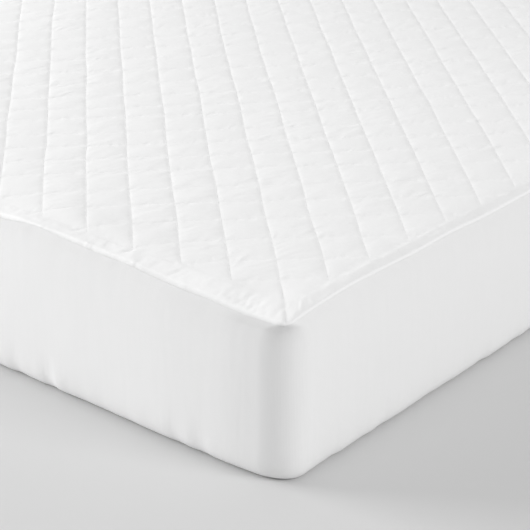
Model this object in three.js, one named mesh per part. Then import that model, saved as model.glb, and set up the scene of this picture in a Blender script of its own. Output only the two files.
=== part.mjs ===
// Quilted mattress protector, fitted over a queen-size mattress.
// Millimetres, +Z up. The origin is the middle of the underside.
// The foot end is towards -Y, and the right-hand long side is +X.
import * as THREE from "three";

// Driving sizes
const WIDTH = 1530;
const LENGTH = 2030;
const SEAM_HEIGHT = 283;
const SHEET = 1.5;
const CONTACT_GAP = 0.3;

// The panel: its stitch lines, its filling and its border
const STITCH_PITCH = 70;
const FIRST_LINE_A = 0.034;
const FIRST_LINE_B = 0.349;
const PILLOW_HEIGHT = 3.5;
const PILLOW_EDGE = 0.2;
const STITCHED_THICKNESS = 3;
const BORDER = 14;
const BORDER_PUFF = 2.5;
const BORDER_EASE = 40;
const SEAM_BEAD = 3;

// The puckers where the border is eased round each corner
const GATHER_DEPTH = 2.2;
const GATHER_PITCH = 40;
const GATHER_REACH = 110;

// The panel's crown, from the seam up to its level middle
const EDGE_DROP = 12;
const EDGE_REACH = 22;
const SHOULDER_DROP = 7;
const SHOULDER_REACH = 170;

// Corners, seen from above
const PANEL_CORNER = 18;
const SIDE_CORNER = 50;
const CORNER_DIP = 8;
const CORNER_DIP_REACH = 200;

// The border's rows between its stitch line and its back edge.
// lift is the height over the seam, and the bead stands out between the panel and the skirt.
const PUFF_ROW = { inset: 7, corner: 17 };
const BEAD_ROWS = [
  { inset: 1, corner: PANEL_CORNER, lift: SEAM_BEAD },
  { inset: 0, corner: PANEL_CORNER, lift: 0 },
  { inset: 1.2, corner: PANEL_CORNER, lift: -SEAM_BEAD },
  { inset: 6, corner: 17, lift: -SEAM_BEAD },
];

// How the seam rises and falls along a long side: distance from the foot end, rise
const LONG_SIDE_RISE = [
  { along: 0, rise: 0 },
  { along: 60, rise: 1.3 },
  { along: 135, rise: 3 },
  { along: 212, rise: 1.8 },
  { along: 300, rise: -0.6 },
  { along: 422, rise: 0 },
  { along: 475, rise: -2.6 },
  { along: 650, rise: -3.2 },
  { along: 950, rise: 3 },
  { along: 1350, rise: -3 },
  { along: 1700, rise: 3 },
  { along: 2030, rise: 0 },
];

// The same along the foot and head ends: distance from the right-hand side, rise
const SHORT_SIDE_RISE = [
  { along: 0, rise: 0 },
  { along: 36, rise: -2.9 },
  { along: 90, rise: -6.9 },
  { along: 193, rise: -5.7 },
  { along: 256, rise: -1.7 },
  { along: 310, rise: 2 },
  { along: 423, rise: 6.5 },
  { along: 510, rise: 10.5 },
  { along: 566, rise: 4.4 },
  { along: 650, rise: 0 },
  { along: 850, rise: 2 },
  { along: 1150, rise: -3 },
  { along: 1530, rise: 0 },
];

// The skirt's outer face from the seam to the hem.
// follow is the share of the seam's rise and fall that a row takes.
const SKIRT_TOP = [
  { inset: 2.2, corner: 17, belowSeam: 3.5, follow: 1 },
  { inset: 0.6, corner: 22, belowSeam: 12, follow: 1 },
  { inset: 0, corner: 38, belowSeam: 45, follow: 0.7 },
];
const SKIRT_SIDE = [
  { inset: -2, corner: SIDE_CORNER, height: 150 },
  { inset: 0, corner: SIDE_CORNER, height: 50 },
  { inset: 4, corner: 48, height: 21 },
  { inset: 14, corner: 42, height: 5 },
  { inset: 27, corner: 34, height: 0 },
  { inset: 78, corner: 18, height: 0 },
];

// The mattress: clear of the cloth by 2 mm at its edges, and touching it in the middle
const EDGE_CLEARANCE = 2;
const MATTRESS_SIDE = [
  { inset: 42, corner: 30, height: SHEET + CONTACT_GAP },
  { inset: 20, corner: 38, height: 10 },
  { inset: 9, corner: 46, height: 26 },
  { inset: 4, corner: SIDE_CORNER, height: 54 },
  { inset: 3, corner: SIDE_CORNER, height: 150 },
];
const MATTRESS_RIM = [
  { inset: 5, corner: 38, belowSeam: 50, follow: 0.7 },
  { inset: 8, corner: 26, belowSeam: 18, follow: 1 },
];

// Rows of the panel's underside and of the mattress's top, by distance from the side
const INNER_ROWS = [
  { inset: 24, corner: 20, clearance: EDGE_CLEARANCE },
  { inset: 75, corner: 20, clearance: CONTACT_GAP },
  { inset: SHOULDER_REACH, corner: 20, clearance: CONTACT_GAP },
];

// Finishes
const COTTON = { color: 0xf4f4f3, roughness: 0.85 };
const KNIT = { color: 0xf1f1ef, roughness: 0.9 };
const MATTRESS_COVER = { color: 0xe7e4dc, roughness: 0.9 };

const HALF_WIDTH = WIDTH / 2;
const HALF_LENGTH = LENGTH / 2;

// The border's stitch line, and how points are set on it
const BORDER_X = HALF_WIDTH - BORDER;
const BORDER_Y = HALF_LENGTH - BORDER;
const BORDER_SNAP = 5;
const BORDER_STEP = 2;
const TOUCH = 1e-6;

// Points along each side: steps at each corner arc, and distances from the corner to the side's middle
const ARC_STEPS = 3;
const SHORT_SIDE_STEPS = [20, 40, 80, 130, 190, 255, 320, 410, 510, 620, 765];
const LONG_SIDE_STEPS = [20, 40, 80, 130, 200, 300, 400, 480, 620, 800, 1015];

const clamp = (value, low, high) => Math.min(high, Math.max(low, value));

// A smooth curve through a table of distance and rise.
function riseAlong(table, distance) {
  const last = table.length - 2;
  let k = 0;
  while (k < last && distance > table[k + 1].along) k += 1;
  const from = table[k];
  const to = table[k + 1];
  const t = clamp((distance - from.along) / (to.along - from.along), 0, 1);
  return from.rise + (to.rise - from.rise) * t * t * (3 - 2 * t);
}

// 1 at the edge, and 0 from the given reach inwards.
function fade(distance, reach, power) {
  return Math.pow(clamp(1 - distance / reach, 0, 1), power);
}

// How far a point of the seam line lies above or below its even height.
function seamRise(x, y) {
  const sideways = HALF_WIDTH - Math.abs(x);
  const lengthways = HALF_LENGTH - Math.abs(y);
  const fromFoot = x > 0 ? y + HALF_LENGTH : HALF_LENGTH - y;
  const fromRight = y < 0 ? HALF_WIDTH - x : HALF_WIDTH + x;
  const along = riseAlong(LONG_SIDE_RISE, fromFoot) * fade(sideways, SHOULDER_REACH, 2);
  const across = riseAlong(SHORT_SIDE_RISE, fromRight) * fade(lengthways, SHOULDER_REACH, 2);
  const corner = fade(sideways, CORNER_DIP_REACH, 2) * fade(lengthways, CORNER_DIP_REACH, 2);
  return along + across - CORNER_DIP * corner;
}

// Height of the stitch level of the panel over a point.
function panelHeight(x, y) {
  const sideways = HALF_WIDTH - Math.abs(x);
  const lengthways = HALF_LENGTH - Math.abs(y);
  const edge = (1 - fade(sideways, EDGE_REACH, 2)) * (1 - fade(lengthways, EDGE_REACH, 2));
  const shoulder = (1 - fade(sideways, SHOULDER_REACH, 3)) * (1 - fade(lengthways, SHOULDER_REACH, 3));
  return SEAM_HEIGHT + EDGE_DROP * edge + SHOULDER_DROP * shoulder + seamRise(x, y);
}

// The small rises and dips of the gathered border near a corner.
function gather(x, y) {
  const fromCorner = HALF_WIDTH - Math.abs(x) + HALF_LENGTH - Math.abs(y);
  const wave = Math.cos((2 * Math.PI * fromCorner) / GATHER_PITCH);
  return GATHER_DEPTH * wave * fade(fromCorner, GATHER_REACH, 1);
}

// One closed row of points around the mattress, counterclockwise from the rear left corner's middle.
// heightAt is a number, or a function of the point and its place in the row.
function row(inset, corner, heightAt) {
  const halfX = HALF_WIDTH - inset;
  const halfY = HALF_LENGTH - inset;
  const points = [];
  const sides = [
    { turn: 0, reach: halfX, depth: halfY, steps: SHORT_SIDE_STEPS },
    { turn: 1, reach: halfY, depth: halfX, steps: LONG_SIDE_STEPS },
    { turn: 2, reach: halfX, depth: halfY, steps: SHORT_SIDE_STEPS },
    { turn: 3, reach: halfY, depth: halfX, steps: LONG_SIDE_STEPS },
  ];
  for (const side of sides) {
    const local = sidePoints(side.reach, side.depth, corner, side.steps);
    const angle = (side.turn * Math.PI) / 2;
    for (const [along, out] of local) {
      const x = along * Math.cos(angle) - out * Math.sin(angle);
      const y = along * Math.sin(angle) + out * Math.cos(angle);
      points.push(new THREE.Vector3(x, y, 0));
    }
  }
  points.forEach((point, place) => {
    point.z = typeof heightAt === "number" ? heightAt : heightAt(point, place);
  });
  return points;
}

// A side's points from the middle of one corner arc up to the middle of the next.
function sidePoints(reach, depth, corner, steps) {
  const points = [];
  const arcPoint = (sign, angle) => [
    sign * (reach - corner + corner * Math.sin(angle)),
    -(depth - corner + corner * Math.cos(angle)),
  ];
  for (let k = ARC_STEPS; k > 0; k -= 1) points.push(arcPoint(-1, (k / ARC_STEPS) * (Math.PI / 4)));
  const middle = steps[steps.length - 1];
  const straight = reach - corner;
  const places = steps.map((step) => straight * (1 - (step / middle)));
  points.push([-straight, -depth]);
  for (const place of places) points.push([-place, -depth]);
  for (const place of places.slice(0, -1).reverse()) points.push([place, -depth]);
  points.push([straight, -depth]);
  for (let k = 1; k < ARC_STEPS; k += 1) points.push(arcPoint(1, (k / ARC_STEPS) * (Math.PI / 4)));
  return points;
}

// Triangles between two rows with the same number of points. They face away from the middle
// when the second row is the upper or the inner one, and the other way when turned.
function band(triangles, first, second, turned = false) {
  for (let i = 0; i < first.length; i += 1) {
    const j = (i + 1) % first.length;
    const pair = [[first[i], first[j], second[j]], [first[i], second[j], second[i]]];
    triangles.push(...(turned ? pair.map((corners) => corners.reverse()) : pair));
  }
}

// A level lid over a row, facing up, or down when turned.
function lid(triangles, edge, turned) {
  const centre = new THREE.Vector3(0, 0, edge[0].z);
  for (let i = 0; i < edge.length; i += 1) {
    const j = (i + 1) % edge.length;
    triangles.push(turned ? [centre, edge[j], edge[i]] : [centre, edge[i], edge[j]]);
  }
}

// A named mesh from a closed set of triangles.
function solid(name, triangles, { color, roughness }) {
  const positions = triangles.flatMap((corners) => corners.flatMap((p) => [p.x, p.y, p.z]));
  const geometry = new THREE.BufferGeometry();
  geometry.setAttribute("position", new THREE.Float32BufferAttribute(positions, 3));
  geometry.computeVertexNormals();
  const material = new THREE.MeshStandardMaterial({ color, roughness, metalness: 0 });
  const mesh = new THREE.Mesh(geometry, material);
  mesh.name = name;
  return mesh;
}

// Where a place (a, b) between the stitch lines lies on the panel, counted in pitches
// from the right-hand corner of the foot end.
function stitchPlace(a, b) {
  const s = (a + FIRST_LINE_A) * STITCH_PITCH * Math.SQRT1_2;
  const t = (b + FIRST_LINE_B) * STITCH_PITCH * Math.SQRT1_2;
  return { x: HALF_WIDTH + s + t, y: -HALF_LENGTH + s - t };
}

// A corner close to the border's stitch line is moved onto it, so that no sliver is left.
function snapToBorder(point) {
  const near = (value, limit) => Math.abs(Math.abs(value) - limit) < BORDER_SNAP;
  const x = near(point.x, BORDER_X) ? Math.sign(point.x) * BORDER_X : point.x;
  const y = near(point.y, BORDER_Y) ? Math.sign(point.y) * BORDER_Y : point.y;
  return { x, y, fill: point.fill };
}

// A point on the border's stitch line takes an even step along it.
function settleOnBorder(point) {
  const onX = Math.abs(Math.abs(point.x) - BORDER_X) < TOUCH;
  const onY = Math.abs(Math.abs(point.y) - BORDER_Y) < TOUCH;
  const even = (value, limit) => clamp(Math.round(value / BORDER_STEP) * BORDER_STEP, -limit, limit);
  const x = onX ? Math.sign(point.x) * BORDER_X : onY ? even(point.x, BORDER_X) : point.x;
  const y = onY ? Math.sign(point.y) * BORDER_Y : onX ? even(point.y, BORDER_Y) : point.y;
  return { x, y, fill: onX || onY ? 0 : point.fill, onBorder: onX || onY };
}

// Cuts a convex outline at one straight line: value is how far a corner lies inside it.
function cutOutline(outline, value) {
  const kept = [];
  outline.forEach((here, i) => {
    const next = outline[(i + 1) % outline.length];
    const a = value(here);
    const b = value(next);
    if (a >= 0) kept.push(here);
    if ((a > 0 && b < 0) || (a < 0 && b > 0)) {
      const t = a / (a - b);
      kept.push({ x: here.x + t * (next.x - here.x), y: here.y + t * (next.y - here.y), fill: 0 });
    }
  });
  return kept;
}

// The stitched field: each diamond has a raised flat middle and four slopes down to its stitches.
function quiltedField(triangles) {
  const edgePoints = new Map();
  const lift = (corner) => {
    const point = settleOnBorder(corner);
    const inside = Math.min(BORDER_X - Math.abs(point.x), BORDER_Y - Math.abs(point.y));
    const loft = point.fill * PILLOW_HEIGHT * clamp(inside / BORDER_EASE, 0, 1);
    const height = panelHeight(point.x, point.y) + loft;
    const lifted = new THREE.Vector3(point.x, point.y, height);
    if (point.onBorder) edgePoints.set(`${point.x.toFixed(3)},${point.y.toFixed(3)}`, lifted);
    return lifted;
  };
  const reach = Math.ceil((WIDTH + LENGTH) / STITCH_PITCH);
  for (let i = -reach; i < reach; i += 1) {
    for (let j = -reach; j < reach; j += 1) {
      for (const piece of diamondPieces(i, j)) {
        let outline = piece.map(snapToBorder);
        outline = cutOutline(outline, (p) => BORDER_X - p.x);
        outline = cutOutline(outline, (p) => BORDER_X + p.x);
        outline = cutOutline(outline, (p) => BORDER_Y - p.y);
        outline = cutOutline(outline, (p) => BORDER_Y + p.y);
        fillOutline(triangles, outline, lift);
      }
    }
  }
  return [...edgePoints.values()];
}

// Fills a convex outline with triangles, and leaves out those with no area.
function fillOutline(triangles, outline, lift) {
  const corners = outline.map(lift);
  for (let k = 1; k + 1 < corners.length; k += 1) {
    const [a, b, c] = [corners[0], corners[k + 1], corners[k]];
    const area = (b.x - a.x) * (c.y - a.y) - (c.x - a.x) * (b.y - a.y);
    if (Math.abs(area) > TOUCH) triangles.push([a, b, c]);
  }
}

// The five parts of one diamond, as triangles with a fill of 0 at the stitches and 1 on the pillow.
function diamondPieces(i, j) {
  const low = PILLOW_EDGE;
  const high = 1 - PILLOW_EDGE;
  const outer = [[0, 0], [1, 0], [1, 1], [0, 1]];
  const inner = [[low, low], [high, low], [high, high], [low, high]];
  const place = ([a, b], fill) => ({ ...stitchPlace(i + a, j + b), fill });
  const rim = outer.map((corner) => place(corner, 0));
  const top = inner.map((corner) => place(corner, 1));
  const pieces = [[top[0], top[1], top[2]], [top[0], top[2], top[3]]];
  for (let k = 0; k < 4; k += 1) {
    const n = (k + 1) % 4;
    pieces.push([rim[k], rim[n], top[n]], [rim[k], top[n], top[k]]);
  }
  return pieces;
}

// How far round the panel a point lies: 0 to 1 along the foot end, then each side in turn.
function wayRound(point) {
  const acrossShare = (point.x / BORDER_X + 1) / 2;
  const alongShare = (point.y / BORDER_Y + 1) / 2;
  const toSides = [BORDER_Y + point.y, BORDER_X - point.x, BORDER_Y - point.y, BORDER_X + point.x];
  const side = toSides.indexOf(Math.min(...toSides));
  const shares = [acrossShare, alongShare, 1 - acrossShare, 1 - alongShare];
  return side + clamp(shares[side], 0, 1);
}

// Joins an inner row and an outer row whose points are not in step.
function zip(triangles, inner, outer) {
  const waysIn = inner.map(wayRound);
  const waysOut = outer.map(wayRound);
  const next = (ways, k) => (k + 1 < ways.length ? ways[k + 1] : 4 + ways[0]);
  let i = 0;
  let o = 0;
  while (i < inner.length || o < outer.length) {
    const innerPoint = inner[i % inner.length];
    const outerPoint = outer[o % outer.length];
    const stepIn = i < inner.length && (o >= outer.length || next(waysIn, i) <= next(waysOut, o));
    if (stepIn) {
      i += 1;
      triangles.push([innerPoint, outerPoint, inner[i % inner.length]]);
    } else {
      o += 1;
      triangles.push([innerPoint, outerPoint, outer[o % outer.length]]);
    }
  }
}

// Height of the seam over each point of a row.
const SEAM_ROW = row(0, PANEL_CORNER, (point) => SEAM_HEIGHT + seamRise(point.x, point.y));
const seamAt = (place) => SEAM_ROW[place].z;

// The panel: stitched field, puffed border, seam bead and underside.
function quiltedTop() {
  const triangles = [];
  const field = quiltedField(triangles).sort((p, q) => wayRound(p) - wayRound(q));
  const puffHeight = (p) => panelHeight(p.x, p.y) + BORDER_PUFF + gather(p.x, p.y);
  let previous = row(PUFF_ROW.inset, PUFF_ROW.corner, puffHeight);
  zip(triangles, field, previous);
  for (const line of BEAD_ROWS) {
    const bead = row(line.inset, line.corner, (p, k) => seamAt(k) + line.lift);
    band(triangles, bead, previous);
    previous = bead;
  }
  for (const line of INNER_ROWS) {
    const under = row(line.inset, line.corner, (p) => panelHeight(p.x, p.y) - STITCHED_THICKNESS);
    band(triangles, previous, under, true);
    previous = under;
  }
  lid(triangles, previous, true);
  return solid("quilted_top", triangles, COTTON);
}

// A row of the skirt or of the mattress's side, from a line of its table.
function sideRow(line) {
  if (line.height !== undefined) return row(line.inset, line.corner, line.height);
  const height = (p, k) => SEAM_HEIGHT - line.belowSeam + line.follow * (seamAt(k) - SEAM_HEIGHT);
  return row(line.inset, line.corner, height);
}

// The same line on the skirt's inner face, one sheet's thickness further in.
function innerLine(lines, k) {
  const level = (line) => (line.height !== undefined ? line.height : SEAM_HEIGHT - line.belowSeam);
  const before = lines[Math.max(k - 1, 0)];
  const after = lines[Math.min(k + 1, lines.length - 1)];
  const down = level(before) - level(after);
  const inwards = after.inset - before.inset;
  const length = Math.hypot(down, inwards);
  const line = { ...lines[k] };
  line.inset += (SHEET * down) / length;
  line.corner -= (SHEET * down) / length;
  const lift = (SHEET * inwards) / length;
  if (line.height !== undefined) line.height += lift;
  else line.belowSeam -= lift;
  return line;
}

// The skirt: its outer face down to the hem, and its inner face back up.
function skirt() {
  const lines = [...SKIRT_TOP, ...SKIRT_SIDE];
  const outer = lines.map(sideRow);
  const inner = lines.map((line, k) => sideRow(innerLine(lines, k)));
  const hemEdge = lines.length - 1;
  inner[hemEdge] = row(lines[hemEdge].inset, lines[hemEdge].corner, SHEET);
  const topLine = { ...lines[0], inset: lines[0].inset + SHEET, corner: lines[0].corner - SHEET };
  inner[0] = sideRow(topLine);
  const loop = [...outer, ...inner.reverse()];
  const triangles = [];
  loop.forEach((upper, k) => band(triangles, loop[(k + 1) % loop.length], upper));
  return solid("skirt", triangles, KNIT);
}

// The mattress, from its flat base up to its crowned top.
function mattress() {
  const triangles = [];
  const rows = [...MATTRESS_SIDE, ...MATTRESS_RIM].map(sideRow);
  for (const line of INNER_ROWS) {
    const down = STITCHED_THICKNESS + line.clearance;
    rows.push(row(line.inset, line.corner, (p) => panelHeight(p.x, p.y) - down));
  }
  lid(triangles, rows[0], true);
  rows.slice(1).forEach((upper, k) => band(triangles, rows[k], upper));
  lid(triangles, rows[rows.length - 1], false);
  return solid("mattress", triangles, MATTRESS_COVER);
}

const protector = new THREE.Group();
protector.name = "mattress_protector";
protector.add(quiltedTop(), skirt(), mattress());

export default protector;
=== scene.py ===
"""A quilted mattress protector, fitted over a queen-size mattress: its finish and its stage.

Metres, +Z up. The origin is the middle of the underside, the foot end is towards -Y, and the
right-hand long side is +X. Each piece is a surface worked out as whole arrays of points.
"""

from math import cos, pi, radians, sin, sqrt
from types import SimpleNamespace

import bpy
import numpy as np
from bpy.props import FloatProperty, FloatVectorProperty, PointerProperty
from bpy.types import Operator, Panel, PropertyGroup
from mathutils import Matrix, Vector


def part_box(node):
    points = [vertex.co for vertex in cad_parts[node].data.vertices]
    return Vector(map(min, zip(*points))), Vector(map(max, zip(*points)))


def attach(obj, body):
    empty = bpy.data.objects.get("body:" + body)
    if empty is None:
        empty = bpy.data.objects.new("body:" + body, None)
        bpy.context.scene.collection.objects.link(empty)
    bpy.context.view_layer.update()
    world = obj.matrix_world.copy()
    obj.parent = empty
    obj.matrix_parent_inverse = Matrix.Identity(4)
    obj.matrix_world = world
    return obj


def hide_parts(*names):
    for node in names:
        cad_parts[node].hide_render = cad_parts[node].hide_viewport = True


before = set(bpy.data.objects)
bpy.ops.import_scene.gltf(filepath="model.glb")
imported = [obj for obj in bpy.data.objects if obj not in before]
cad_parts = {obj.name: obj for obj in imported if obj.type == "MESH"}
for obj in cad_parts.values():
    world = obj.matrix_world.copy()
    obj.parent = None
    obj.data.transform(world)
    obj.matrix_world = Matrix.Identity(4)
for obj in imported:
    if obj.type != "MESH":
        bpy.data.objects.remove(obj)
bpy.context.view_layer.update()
PANEL_LOW, PANEL_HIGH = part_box("quilted_top")

bl_info = {
    "name": "Quilted mattress protector",
    "version": (1, 0, 0),
    "blender": (4, 5, 0),
    "location": "3D View > Sidebar > Protector",
    "description": "A quilted mattress protector with a stretch skirt, fitted over a mattress",
    "category": "Object",
}

MM = 0.001

# The four sides in the order of a walk round the mattress: outward direction, forward direction,
# and the stretch of the side that is made finer, in metres from where the walk meets it
SIDES = [
    ((-1, 0), (0, -1), (0, 0)),
    ((0, -1), (1, 0), (0.87, 1.53)),
    ((1, 0), (0, 1), (0, 0.78)),
    ((0, 1), (-1, 0), (0, 0)),
]

# How the seam rises and falls along the right side: distance from the foot end, rise. The left
# side has the same, from the head end.
LONG_SIDE_RISE = MM * np.array([
    (0, 0), (60, 1.3), (97, 2.3), (135, 3), (212, 1.8), (300, -0.6), (422, 0.1), (475, -2.6), (650, -3.2),
    (950, 3), (1350, -3), (1700, 3), (2030, 0),
])

# The same along the foot: distance from the right side, rise. The head has the same, from the left
# side.
SHORT_SIDE_RISE = MM * np.array([
    (0, 0), (36, -2.9), (90, -6.9), (150, -5.6), (193, -5.7), (256, -1.7), (310, 2), (355, 2.8),
    (423, 6.5), (510, 10.5), (566, 4.4), (650, 0), (850, 2), (1150, -3), (1530, 0),
])

# At a corner, only this part of the end slope share is left
END_SLOPE_AT_CORNER = 0.25

# The powers that bend the panel's falls to its edges: the corner's dip, the slope in the border of
# a long side and the fall further in, the same two at the foot and head, and how taut a corner is
DIP_POWER = 2
SIDE_SLOPE_POWER, SIDE_POWER = 1.1, 2
END_SLOPE_POWER, END_POWER = 1.3, 1.5
TAUT_POWER = 1.5

# The same for the dart, down to its lowest line and along that line
DART_ACROSS_POWER, DART_ALONG_POWER = 2, 0.7

# Corner radii seen from above: of the seam, of the rows well inside it, and of the line that the
# skirt's ribs and waves are measured along
SEAM_CORNER = 18 * MM
INNER_CORNER = 20 * MM
SKIRT_CORNER = 40 * MM

# Noise is a square grid of random values, which repeats after this many
NOISE_SIDE = 256

# Noise in the shapes: how far apart its random values are in both directions, and its seed. In
# the stitch pattern that is counted in pitches, across the border in border widths, and
# everywhere else in metres.
LINE_NOISE_A = (1 / 0.83, 1 / 0.57, 11)
LINE_NOISE_B = (1 / 0.61, 1 / 0.91, 12)
DIAMOND_NOISE = (1, 1, 21)
PATCH_NOISE = (0.045, 0.045, 22)
FOLD_BEND_NOISE = (0.05, 0.05, 23)
FOLD_SHIFT_NOISE = (0.04, 0.04, 24)
FOLD_NOISE = (0.07, 0.026, 25)
FOLD_PATCH_NOISE = (0.09, 0.09, 26)
GATHER_NOISES = [(0.009, 1 / 1.5, 31), (0.021, 1 / 2.5, 32)]
ROLL_NOISE = (0.007, 1, 33)
SEAM_NOISE = (0.028, 0.028, 34)
RIPPLE_NOISES = [(0.011, 0.06, 41), (0.023, 0.08, 42)]
SWAY_NOISE = (0.12, 0.2, 43)

# The hem's noise down the skirt, and its seed. Along the skirt its step is the gathers' pitch.
HEM_NOISE_STEP = 0.12
HEM_NOISE_SEED = 44

# The main creases: from the right side, from the foot, heading in degrees from +X,
# half length, half width, height. A negative height is a groove.
CREASES = np.array([
    (1026, 503, 99, 27, 3, 1.2), (962, 439, 97, 15, 3, 0.75), (919, 492, 77, 14, 3, 0.9),
    (926, 620, 16, 8, 2.5, -1.5), (840, 532, 83, 8, 2.5, -1.2), (725, 405, 84, 15, 4, 1.05),
    (766, 347, 85, 18, 5, 1.05), (572, 150, 77, 22, 4, 1.2), (594, 170, 79, 18, 3, 0.75),
    (449, 317, 79, 29, 3, 1.35), (421, 290, 66, 25, 3, 1.2), (377, 242, 70, 29, 3, 1.2),
    (363, 130, 65, 23, 3, 1.35), (331, 105, 88, 18, 3, 0.9), (326, 82, 78, 25, 4, 0.9),
    (300, 69, 74, 13, 3, 0.75), (357, 207, 79, 20, 4, 1.2), (322, 203, 85, 17, 3, 0.9),
    (267, 148, 77, 16, 3, 0.9), (278, 172, 81, 12, 2.5, 0.75), (322, 21, 64, 12, 3, -1.8),
    (222, 16, 66, 13, 3, -1.65), (433, 27, 65, 12, 3, -1.5), (533, 30, 69, 13, 3, -0.9),
    (397, 357, 69, 14, 3, 1.2), (369, 356, 90, 20, 3.5, 1.35), (413, 898, 96, 25, 3, 1.5),
    (358, 836, 91, 21, 3, 1.5), (573, 661, 85, 20, 3, 1.05), (473, 652, 86, 19, 3, 1.05),
    (421, 702, 6, 15, 3.5, -1.05), (365, 626, 88, 31, 4, 1.05), (292, 357, 77, 25, 5, 1.2),
    (257, 383, 72, 16, 4, 0.75), (178, 523, 88, 36, 5, 1.2), (168, 612, 89, 22, 3, 1.2),
    (242, 854, 92, 34, 3.5, 1.05), (143, 730, 89, 26, 3.5, 0.9), (543, 820, 91, 19, 3, 0.9),
    (522, 911, 144, 25, 3, -1.2), (759, 547, 99, 13, 3, 1.2), (627, 412, 75, 18, 3.5, 0.9),
    (758, 657, 94, 11, 3, 0.9), (639, 123, 67, 19, 5, 0.9), (809, 264, 67, 28, 5, 0.6),
    (116, 8, 172, 38, 2, 1.2), (34, 80, 90, 40, 12, 0.9), (330, 62, 0, 110, 34, 1.5),
    (480, 66, 4, 90, 36, 3.6), (60, 10, 80, 5, 3, -1.2), (66, 22, 110, 5, 3, -1.35),
    (72, 12, 95, 6, 3.5, -1.65), (78, 25, 70, 5, 3, -1.5), (84, 14, 100, 6, 3.5, -1.8),
    (90, 24, 85, 5, 3, -1.35), (96, 13, 75, 5, 3, -1.35), (103, 22, 105, 5, 3, -1.05),
    (110, 10, 90, 5, 3, -0.9), (52, 17, 95, 5, 3, -1.05), (44, 10, 110, 5, 3, -0.9),
    (70, 31, 20, 6, 3, -0.9), (87, 33, 160, 6, 3, -0.9), (120, 16, 85, 5, 3, -0.75),
    (132, 11, 100, 5, 3, -0.75),
])

# How far the left-leaning stitch lines near the foot's right corner lie off their even places:
# number of the line, shift in pitches
LINE_SHIFTS = np.array([
    (-17, 0), (-14, 0.24), (-13, 0.19), (-12, -0.07), (-11, 0.09), (-10, 0), (-9, -0.08), (-8, -0.17),
    (-7, -0.02), (-6, -0.06), (-5, -0.03), (-4, 0.08), (-3, 0.17), (-2, 0.1), (-1, 0.16), (0, 0),
])

# The stretch of the foot where the left-leaning lines are pulled outwards: where the pull starts
# and ends, from the right side, over what length it grows and fades, and the power of its fading
# further in from the foot
BEND_START, BEND_GROWS = 0.2, 0.12
BEND_END, BEND_FADES = 0.9, 0.3
BEND_POWER = 1.5

# Where the panel is sampled between one stitch line and the next, as shares of the pitch
FINE_SAMPLES = np.array([0, 0.9, 2, 3.4, 6.5, 12, 21, 32, 43.5, 54, 62, 66.6, 68, 69.1]) / 70
COARSE_SAMPLES = np.array([0, 2.2, 8, 22, 40, 60, 67.8]) / 70

# The diamonds that are sampled finely: first and last stitch line of each family
FINE_LINES_A = (-7, 9)
FINE_LINES_B = (-17, 0)

# A point of the field that is closer than this to the border's stitch line is moved onto it
CLOSEST_TO_LINE = 0.8 * MM

# How much the filling differs from diamond to diamond, and from patch to patch, as shares
DIAMOND_UNEVEN = 0.16
PATCH_UNEVEN = 0.14

# Drag folds: their heading from +X, how far noise bends and shifts them, their sharpness, and
# their middle strength, which noise changes from patch to patch
FOLD_HEADING = radians(75)
FOLD_BEND = 12 * MM
FOLD_SHIFT = 8 * MM
FOLD_SHARPNESS = 4
FOLD_STRENGTH = 0.5

# How steeply the cloth falls to a stitch line in the notch that the stitches pull
NOTCH_POWER = 1.7

# The border between its stitch line and the seam's ridge: share of the way out, share of its puff
BORDER_ROWS = [
    (0.06, 0.25), (0.14, 0.55), (0.24, 0.8), (0.34, 0.95), (0.45, 1), (0.56, 1), (0.67, 0.85),
    (0.78, 0.65), (0.89, 0.4), (1, 0.1),
]

# Within this many border widths of a corner, the places on the border's stitch line are drawn
# closer together
CORNER_EASE = 3

# The border's gathers are this much deeper at a corner, and that fades out over this distance
GATHER_AT_CORNER = 0.4
GATHER_CORNER_REACH = 0.14

# The roll at the seam: how far it has turned down where it starts and in each of its rows, the
# height of its foot over the seam, and the height of its small puckers
ROLL_START = radians(15)
ROLL_TURNS = np.radians([25, 36, 47, 58, 69, 80, 90])
ROLL_FOOT = -0.7 * MM
ROLL_PUCKER = 0.35 * MM

# The panel's turned edge below the roll: inset, height over the seam
TURNED_ROWS = MM * np.array([(0.1, -1.1), (0.5, -1.3), (3, -1.6), (6, -2)])

# The panel's underside: distance of its rows from the side, and depth under the crown
UNDERSIDE_ROWS = MM * np.array([24, 75, 170])
PANEL_THICKNESS = 3 * MM

# The middle of the mattress, as a row of one point
MIDDLE = np.zeros((1, 2))

# A stitch: the triangles of its spindle, its half length as a share of the stitch length, how
# close it may come to the border's line, how far the right-leaning lines' stitches are lifted, and
# the fewest stitches in a line
SPINDLE = [(0, 2, 4), (0, 4, 3), (0, 3, 5), (0, 5, 2), (1, 4, 2), (1, 3, 4), (1, 5, 3), (1, 2, 5)]
STITCH_SHARE = 0.4
STITCH_MARGIN = 2 * MM
STITCH_LIFT = 0.15 * MM
FEWEST_STITCHES = 4

# The skirt's outer face, seam to hem: inset, corner radius and height in millimetres, and share of
# the seam's rise. The first rows' heights are counted from the seam, the others' from the floor.
SKIRT_TOP = [
    (1, 17.5, -1.6, 1), (0.4, 18, -1.5, 1), (0.1, 18.5, -1.8, 1), (0, 22, -4, 1), (0, 32, -9, 1),
    (0, 42, -15, 1), (0, 50, -26, 0.9), (-0.3, 57, -45, 0.7),
]
SKIRT_SIDE = [
    (-1.4, 60, 190, 0.3), (-1.9, 60, 150, 0.1), (-1.6, 60, 100, 0), (0, 59, 50, 0), (4, 57, 21, 0),
    (14, 50, 5, 0), (27, 41, 0, 0), (52, 29, 0, 0), (78, 18, 0, 0),
]
SKIRT_ROWS = 52

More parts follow.
